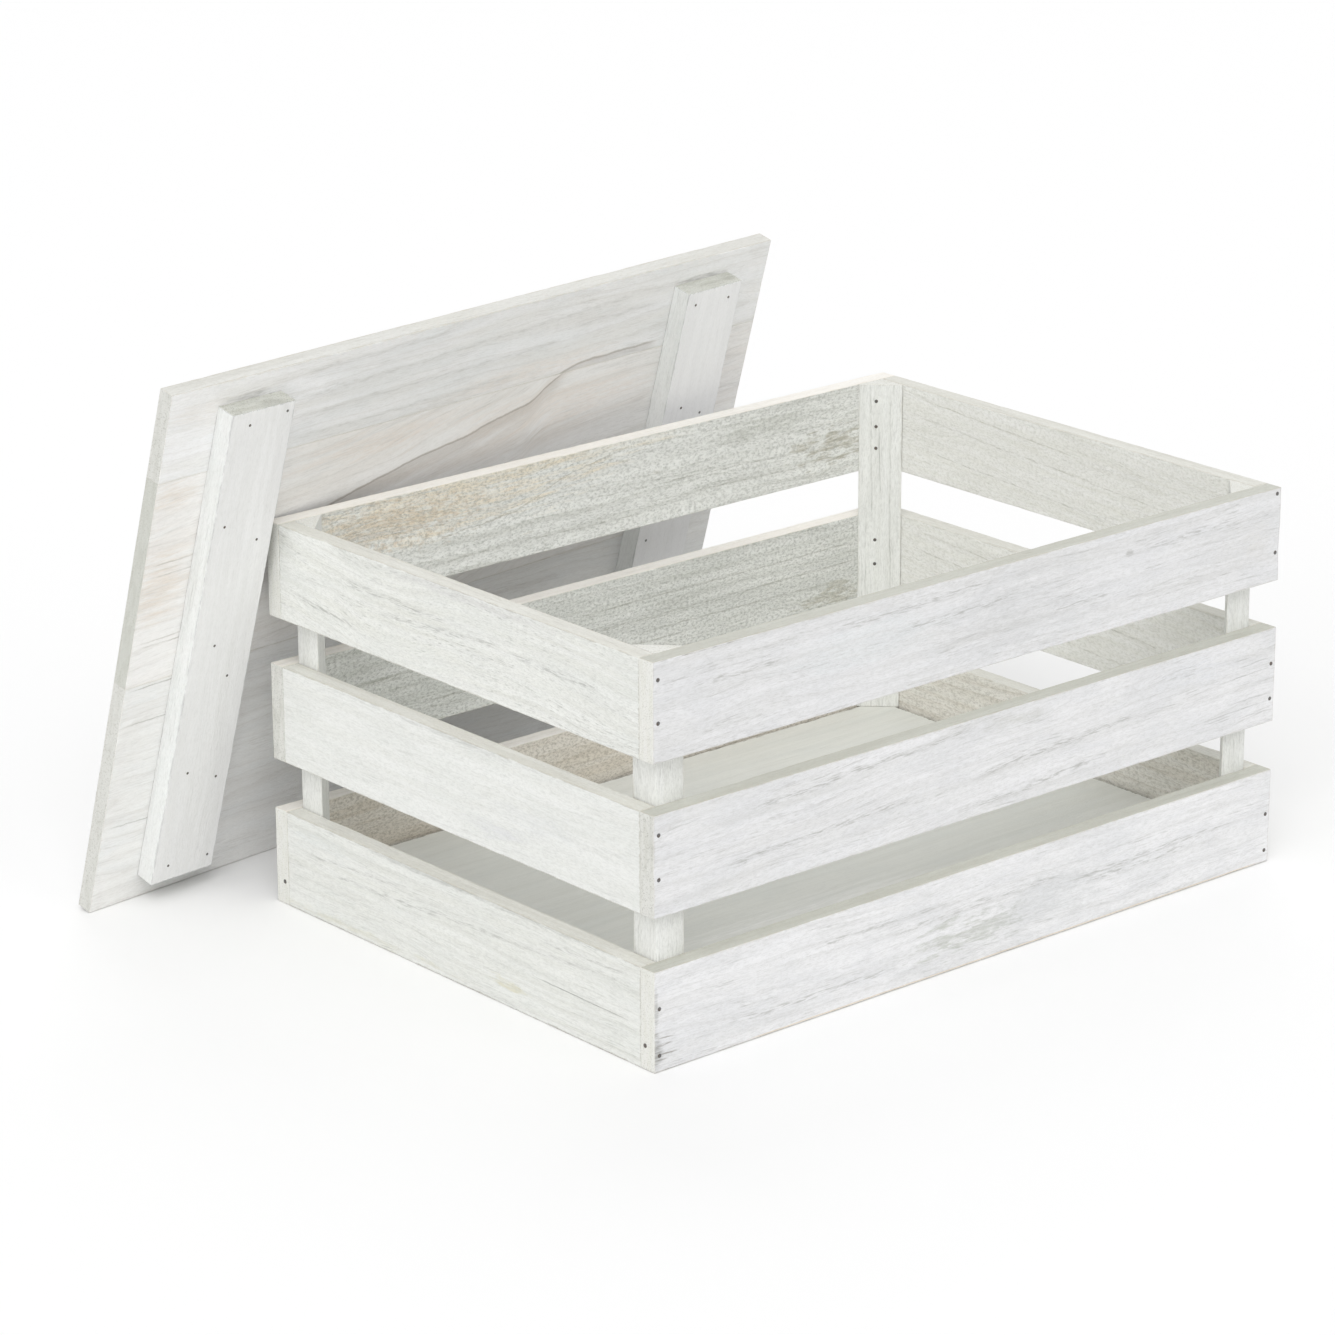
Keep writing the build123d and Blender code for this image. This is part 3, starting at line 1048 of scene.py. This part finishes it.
# The broad pale patch towards the front of the panel's top is painted light, which brightens floor shaded by
# the walls.
PANEL_TOP_LIT_AND_EDGE_SHADED = replace(
    PANEL_WITH_EDGE_SHADE, name="floor_top_light_and_edge_shade", stains_and_light_patches=(StainAndLightPatch(-50, -95, 140, 50, tone(252, 252, 250), 0.9, 1.0, 90),),
)
POST = WoodFinish(
    "post_wash", wash=tone(243, 244, 241), thin=tone(233, 234, 229), tint=tone(235, 236, 232),
    pore=tone(140, 140, 132), arris=tone(206, 203, 192), pores=0.35, rings=0.12,
)
DIRTY_POST = replace(
    POST, name="dirty_post_wash",
    lines=strokes(
        ((-30, 90, -6, -5), (10, 95, 4, 5.5), (-80, 20, 7, 7.5), (30, 70, 0, 1), (-90, -20, -3, -4)),
        tone(150, 150, 142), width=1.3, strength=0.45, broken=0.7, waver=0.8,
    ),
)
LID = WoodFinish(
    "lid_wash", wash=tone(252, 252, 252), thin=tone(241, 240, 236), tint=tone(243, 245, 245),
    pore=tone(184, 182, 176), ring_colour=tone(208, 204, 197), arris=tone(216, 211, 198), bands=0.6,
    band_width=9, pores=0.3, pore_cut=(0.46, 0.74), pore_size=(14, 0.8), speckle=0.12, rings=0.3,
    ring_gap=11, edge_wear_and_shade=0.25,
)
BEIGE = tone(246, 237, 228)
LID_UPPER = replace(
    LID, name="lid_upper_wash", slope=0.01,
    stains_and_light_patches=(
        StainAndLightPatch(-155, 12.6, 20, 3, DARK_GREY, 0.45, 1.6), StainAndLightPatch(156, 12, 24, 2.6, DARK_GREY, 0.5, 1.6),
        StainAndLightPatch(136, 0.0, 0.9, 22, tone(248, 248, 246), 0.8, 0.3),
        StainAndLightPatch(40, -18, 100, 8, BEIGE, 0.5, 2.0, 60),
        StainAndLightPatch(-185, 10, 30, 10, tone(236, 231, 223), 0.5, 2.0, 40),
    ),
    lines=(
        GrainLine(
            ((54, -28), (66, -22.7), (78, -20.4), (135, -19.5)), tone(150, 140, 127), width=2.6,
            strength=0.6, waver=1.2, skirt=12,
        ),
    )
    + strokes(
        (
            (-125, 110, 3, 12), (-125, 60, -7, -4), (-125, 30, -19, -17), (60, 130, 2, 4),
            (-125, -20, 17, 19),
        ),
        tone(196, 195, 190), width=4, strength=0.5, broken=0.6, waver=2, skirt=9,
    ),
)
LID_MIDDLE = replace(
    LID, name="lid_middle_wash", wash=tone(252, 251, 249), thin=tone(244, 240, 235),
    tint=tone(245, 244, 241), figure=((-207, 0.0), (-81, 9), (-1.6, 24), (42, 34), (66, 46), (207, 50)),
    stains_and_light_patches=(
        StainAndLightPatch(60, 40, 90, 16, BEIGE, 0.6, 2.2, 70), StainAndLightPatch(-60, 46, 70, 12, BEIGE, 0.7, 2.2, 70),
        StainAndLightPatch(20, 22, 100, 8, tone(224, 215, 204), 0.4, 2.2, 70),
        StainAndLightPatch(-195, -2, 24, 30, tone(238, 228, 216), 0.7, 1.8, 40),
        StainAndLightPatch(-195, 48, 20, 12, tone(238, 228, 216), 0.6, 1.8, 40),
        StainAndLightPatch(136, 20, 0.9, 60, tone(248, 248, 246), 0.8, 0.3),
    ),
    lines=(
        GrainLine(
            (
                (-105, 13), (-81, 19), (-54.5, 24.9), (-31, 30.2), (-1.6, 34.3), (19, 39.6), (42.4, 44),
                (54.3, 51.3), (70, 60),
            ),
            tone(144, 132, 118), width=2.6, strength=0.62, waver=1.2, skirt=14,
        ),
    )
    + strokes(
        ((-207, -165, 10, 12), (-207, -165, 4, 4.5), (-207, -165, -33, -31.5), (-207, -165, -35, -35)),
        tone(172, 168, 158), width=1.4, strength=0.55, broken=0.5,
    ),
)
LID_LOWER = replace(
    LID, name="lid_lower_wash", wash=tone(250, 250, 248), thin=tone(240, 239, 236),
    lines=strokes(
        ((-207, -120, 62.6, 63.6), (-207, -165, 42, 43), (-207, -165, -16, -18)), tone(150, 148, 138),
        width=1.3, strength=0.6, broken=0.3,
    ),
)
BATTEN = WoodFinish(
    "batten_wash", wash=tone(246, 246, 245), thin=tone(238, 238, 236), tint=tone(240, 240, 239),
    arris=tone(182, 183, 182), pores=0.1, speckle=0.08, rings=0.04, edge_wear_and_shade=0.55, edge_wear_and_shade_reach=0.6,
)
# The right batten has the left one's paint made paler: painted light that offsets the shade the crate lays on
# it.
RIGHT_BATTEN_LIT = replace(
    BATTEN, name="right_batten_painted_light", wash=tone(252, 252, 252), thin=tone(246, 246, 246),
    tint=tone(248, 248, 248),
)
BATTEN_SIDE = replace(
    BATTEN, name="batten_side_wash", wash=tone(238, 240, 238), thin=tone(226, 228, 225), pores=0.3,
    speckle=0.14,
)
LID_EDGE = replace(RIM, name="lid_edge_wash", wash=tone(226, 226, 222), thin=tone(214, 213, 207))
CREAM_END = EndGrainFinish(
    "cream_end", wash=tone(230, 230, 225), bare=tone(222, 222, 213), pore=tone(180, 179, 169), cover=0.6,
)
LID_END = EndGrainFinish(
    "lid_end", wash=tone(216, 216, 211), bare=tone(202, 202, 195), pore=tone(160, 159, 149), cover=0.5,
)
GREY_END = EndGrainFinish(
    "grey_end", wash=tone(220, 220, 215), bare=tone(206, 206, 198), pore=tone(156, 156, 147), cover=0.6,
    smudge=0.2,
)
LID_MIDDLE_END = replace(LID_END, name="lid_middle_end", wash=tone(205, 206, 199), bare=tone(190, 191, 182))
DARK_END = EndGrainFinish(
    "dark_end", wash=tone(208, 209, 202), bare=tone(188, 189, 178), pore=tone(132, 132, 122), cover=0.6,
    smudge=0.25,
)
NAILS = NailFinish()


# ---- the object ------------------------------------------------------------------------------

UP = Vector((0, 0, 1))
OUTWARDS = {
    "front": Vector((0, -1, 0)),
    "back": Vector((0, 1, 0)),
    "left": Vector((-1, 0, 0)),
    "right": Vector((1, 0, 0)),
}


@dataclass
class Crate:
    """The open crate: three rows of slats, four posts and a floor panel.

    Attributes:
        outsides: The outer finish of each row, on the long sides and on the short ones.
        insides: The inner finish of each side and row.
        ends: The end grain of each row.
        rims: The edges of each side's slats; the front's are the rim paint made darker, painted shade, and
            the back's made paler, painted light.
        body: The body that it all rides on.
    """

    outsides: dict[str, tuple[WoodFinish, WoodFinish]] = field(
        default_factory=lambda: {
            "bottom": (FRONT_BOTTOM, SHORT_BOTTOM),
            "middle": (FRONT_MIDDLE, SHORT_MIDDLE),
            "top": (FRONT_TOP, SHORT_TOP),
        }
    )
    insides: dict[tuple[str, str], WoodFinish] = field(
        default_factory=lambda: {
            ("back", "top"): BACK_TOP_INSIDE,
            ("back", "middle"): BACK_MIDDLE_INSIDE,
            ("back", "bottom"): BROWN_INSIDE,
            ("right", "top"): RIGHT_INSIDE,
            ("right", "middle"): RIGHT_INSIDE,
            ("right", "bottom"): PALE_INSIDE,
        }
    )
    ends: dict[str, EndGrainFinish] = field(
        default_factory=lambda: {"bottom": CREAM_END, "middle": GREY_END, "top": CREAM_END}
    )
    # front rims carry painted shade, back rims painted light
    rims: dict[str, WoodFinish] = field(default_factory=lambda: {"front": FRONT_RIM_SHADED, "back": BACK_RIM_LIT})
    body: str = "crate"

    def build(self) -> list[bpy.types.Object]:
        """Build every board of the crate.

        Returns:
            The pieces.
        """
        pieces = [slat.build() for slat in self._slats()]
        pieces += [post.build() for post in self._posts()]
        pieces.append(self._floor().build())
        return pieces

    def _slats(self) -> Iterable[Board]:
        """The twelve slats.

        Yields:
            Each slat, with its finishes.
        """
        seed = 1
        for row, (long_side, short_side) in self.outsides.items():
            for side, outwards in OUTWARDS.items():
                long = side in ("front", "back")
                dress = Dress(
                    show=long_side if long else short_side,
                    back=self.insides.get((side, row), ROUGH),
                    edge=self.rims.get(side, RIM),
                    end=self.ends[row],
                )
                slot = Slot.LONG_SLATS if long else Slot.SHORT_SLATS
                yield Board(f"{side}_{row}_slat", self.body, slot, dress, UP.cross(outwards), outwards, seed)
                seed += 1

    def _posts(self) -> Iterable[Board]:
        """The four corner posts.

        Yields:
            Each post, with its finishes.
        """
        seed = 31
        for front_back in ("front", "back"):
            for left_right in ("left", "right"):
                inwards = -(OUTWARDS[front_back] + OUTWARDS[left_right])
                node = f"corner_post_{front_back}_{left_right}"
                dress = Dress(DIRTY_POST if front_back == "back" else POST, POST, POST, CREAM_END)
                yield Post(node, self.body, Slot.POSTS, dress, UP, inwards, seed)
                seed += 1

    def _floor(self) -> Board:
        """The floor panel."""
        # Panel finishes: painted shade along the edges, and a patch of painted light on top.
        dress = Dress(PANEL_TOP_LIT_AND_EDGE_SHADED, PANEL_WITH_EDGE_SHADE, PANEL_WITH_EDGE_SHADE, CREAM_END)
        return Board("floor_panel", self.body, Slot.FLOOR, dress, Vector((1, 0, 0)), UP, 41)


@dataclass
class Lid:
    """The lid that leans behind the crate: three boards edge to edge, and two cross battens.

    Attributes:
        faces: The underside's finish on each board, from the ground up.
        skews: How far each batten is turned from square.
        yaw: How far the lid is turned from the crate's back.
        lean: How far it leans from upright.
        arris: Radius of the boards' edges, small enough to keep the glued joints tight.
        body: The body that it rides on.
    """

    faces: dict[str, WoodFinish] = field(
        default_factory=lambda: {"lower": LID_LOWER, "middle": LID_MIDDLE, "upper": LID_UPPER}
    )
    skews: dict[str, float] = field(
        default_factory=lambda: {"left": math.radians(-0.55), "right": math.radians(0.35)}
    )
    yaw: float = math.radians(5.7)
    lean: float = math.radians(15.5)
    arris: float = 0.18 * MM
    body: str = "lid"

    def build(self) -> list[bpy.types.Object]:
        """Build the boards and the battens.

        Returns:
            The pieces.
        """
        along = Vector((math.cos(self.yaw), math.sin(self.yaw), 0))
        away = Vector((-math.sin(self.yaw), math.cos(self.yaw), 0))
        underside = -away * math.cos(self.lean) - UP * math.sin(self.lean)
        across = underside.cross(along)
        pieces = []
        for seed, (name, finish) in enumerate(self.faces.items(), 51):
            dress = Dress(finish, LID, LID_EDGE, LID_MIDDLE_END if name == "middle" else LID_END)
            node = f"lid_board_{name}"
            board = Board(node, self.body, Slot.LID_BOARDS, dress, along, underside, seed, self.arris)
            pieces.append(board.build())
        for seed, (side, skew) in enumerate(self.skews.items(), 61):
            upwards = across * math.cos(skew) - along * math.sin(skew)
            # the right batten takes the paler copy, painted light
            dress = Dress(RIGHT_BATTEN_LIT if side == "right" else BATTEN, BATTEN, BATTEN_SIDE, DARK_END)
            batten = Board(f"lid_batten_{side}", self.body, Slot.BATTENS, dress, upwards, underside, seed)
            pieces.append(batten.build())
        return pieces


@dataclass
class Nails:
    """All nails, which keep their shape from the frame and get a steel finish."""

    mark: str = "nails"

    def build(self) -> list[bpy.types.Object]:
        """Give every group of nails its steel.

        Returns:
            The groups.
        """
        steel = NAILS.make()
        groups = [node for name, node in sorted(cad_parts.items()) if self.mark in name]
        for group in groups:
            group.data.materials.clear()
            group.data.materials.append(steel)
            log.info("%s: steel", group.name)
        return groups


# ---- studio ------------------------------------------------------------------------------------


@dataclass(frozen=True)
class Softbox:
    """One broad soft light that stands so far away that it falls evenly.

    Attributes:
        name: Its name.
        azimuth: Where it stands, in degrees to the right of the front.
        elevation: How high it stands, in degrees.
        strength: How brightly it lights a surface that faces it.
        spread: How wide it looks from the object.
        distance: Where its holder stands, which changes nothing in its light.
    """

    name: str
    azimuth: float
    elevation: float
    strength: float
    spread: float = math.radians(37)
    distance: float = 3

    def build(self) -> None:
        """Hang the light and turn it to the object."""
        lamp = bpy.data.lights.new(self.name, "SUN")
        lamp.energy = self.strength
        lamp.angle = self.spread
        turn, rise = math.radians(self.azimuth), math.radians(self.elevation)
        towards = Vector((math.sin(turn) * math.cos(rise), -math.cos(turn) * math.cos(rise), math.sin(rise)))
        holder = bpy.data.objects.new(lamp.name, lamp)
        holder.location = towards * self.distance
        holder.rotation_mode = "QUATERNION"
        holder.rotation_quaternion = towards.to_track_quat("Z", "Y")
        bpy.context.scene.collection.objects.link(holder)


@dataclass
class Studio:
    """White floor, white surroundings, broad soft lights, and the camera.

    Attributes:
        eye: Where the camera stands.
        gaze: Direction that it looks in.
        roll: Its tilt about that direction.
        lens: Focal length on a 36 mm wide sensor, in millimetres.
        sky: Brightness of the surroundings.
        lamps: The soft lights.
        floor_reach: Half width of the floor.
        floor_gap: How far the floor lies under the crate.
        floor_white: Colour of the floor.
    """

    eye: Vector = field(default_factory=lambda: Vector((-1.5003, -1.7551, 0.8934)))
    gaze: Vector = field(default_factory=lambda: Vector((0.61766, 0.71777, -0.32141)))
    roll: float = -0.004
    lens: float = 132.11
    sky: float = 0.61
    lamps: tuple[Softbox, ...] = (
        Softbox("key", -41, 45, 1.1),
        Softbox("left_fill", -80, 30, 0.4),
        Softbox("right_fill", 10, 35, 0.22),
        Softbox("back_fill", 140, 45, 0.3),
        Softbox("overhead", 0, 90, 0.16),
    )
    floor_reach: float = 30.0
    floor_gap: float = 0.2 * MM
    floor_white: Colour = (0.93, 0.93, 0.93, 1.0)

    def build(self) -> None:
        """Set up floor, lights, camera and the picture's tones."""
        self._floor()
        self._surroundings()
        for lamp in self.lamps:
            lamp.build()
        self._camera()
        bpy.context.scene.view_settings.view_transform = "Standard"

    def _floor(self) -> None:
        """A broad pale floor just under the crate."""
        bm = bmesh.new()
        bmesh.ops.create_grid(bm, x_segments=1, y_segments=1, size=self.floor_reach)
        bmesh.ops.translate(bm, verts=bm.verts, vec=(0, 0, -self.floor_gap))
        mesh = bpy.data.meshes.new("studio_floor")
        bm.to_mesh(mesh)
        bm.free()
        bench = Bench(bpy.data.materials.new("studio_white"))
        white = {"Base Color": self.floor_white, "Roughness": 0.9, "Specular IOR Level": 0.1}
        mesh.materials.append(bench.shade(white))
        floor = bpy.data.objects.new(mesh.name, mesh)
        bpy.context.scene.collection.objects.link(floor)

    def _surroundings(self) -> None:
        """Even white light from all round."""
        world = bpy.data.worlds.new("studio_sky")
        world.use_nodes = True
        back = world.node_tree.nodes["Background"]
        back.inputs["Color"].default_value = (1.0, 1.0, 1.0, 1.0)
        back.inputs["Strength"].default_value = self.sky
        bpy.context.scene.world = world

    def _camera(self) -> None:
        """The camera, from its place, gaze and roll."""
        data = bpy.data.cameras.new("camera")
        data.sensor_width = 36.0
        data.lens = self.lens
        data.clip_start = 0.1
        data.clip_end = 100.0
        gaze = self.gaze.normalized()
        right = gaze.cross(UP).normalized()
        up = right.cross(gaze)
        turned = right * math.cos(self.roll) + up * math.sin(self.roll)
        raised = -right * math.sin(self.roll) + up * math.cos(self.roll)
        camera = bpy.data.objects.new(data.name, data)
        bpy.context.scene.collection.objects.link(camera)
        axes = Matrix((turned, raised, -gaze)).transposed()
        camera.matrix_world = Matrix.Translation(self.eye) @ axes.to_4x4()
        bpy.context.scene.camera = camera


def main() -> None:
    """Build crate, lid, nails and studio."""
    logging.basicConfig(level=logging.INFO, format="%(name)s %(message)s")
    for assembly in (Crate(), Lid(), Nails()):
        pieces = assembly.build()
        log.info("%s: %d pieces", type(assembly).__name__, len(pieces))
    Studio().build()


if __name__ == "__main__":
    main()
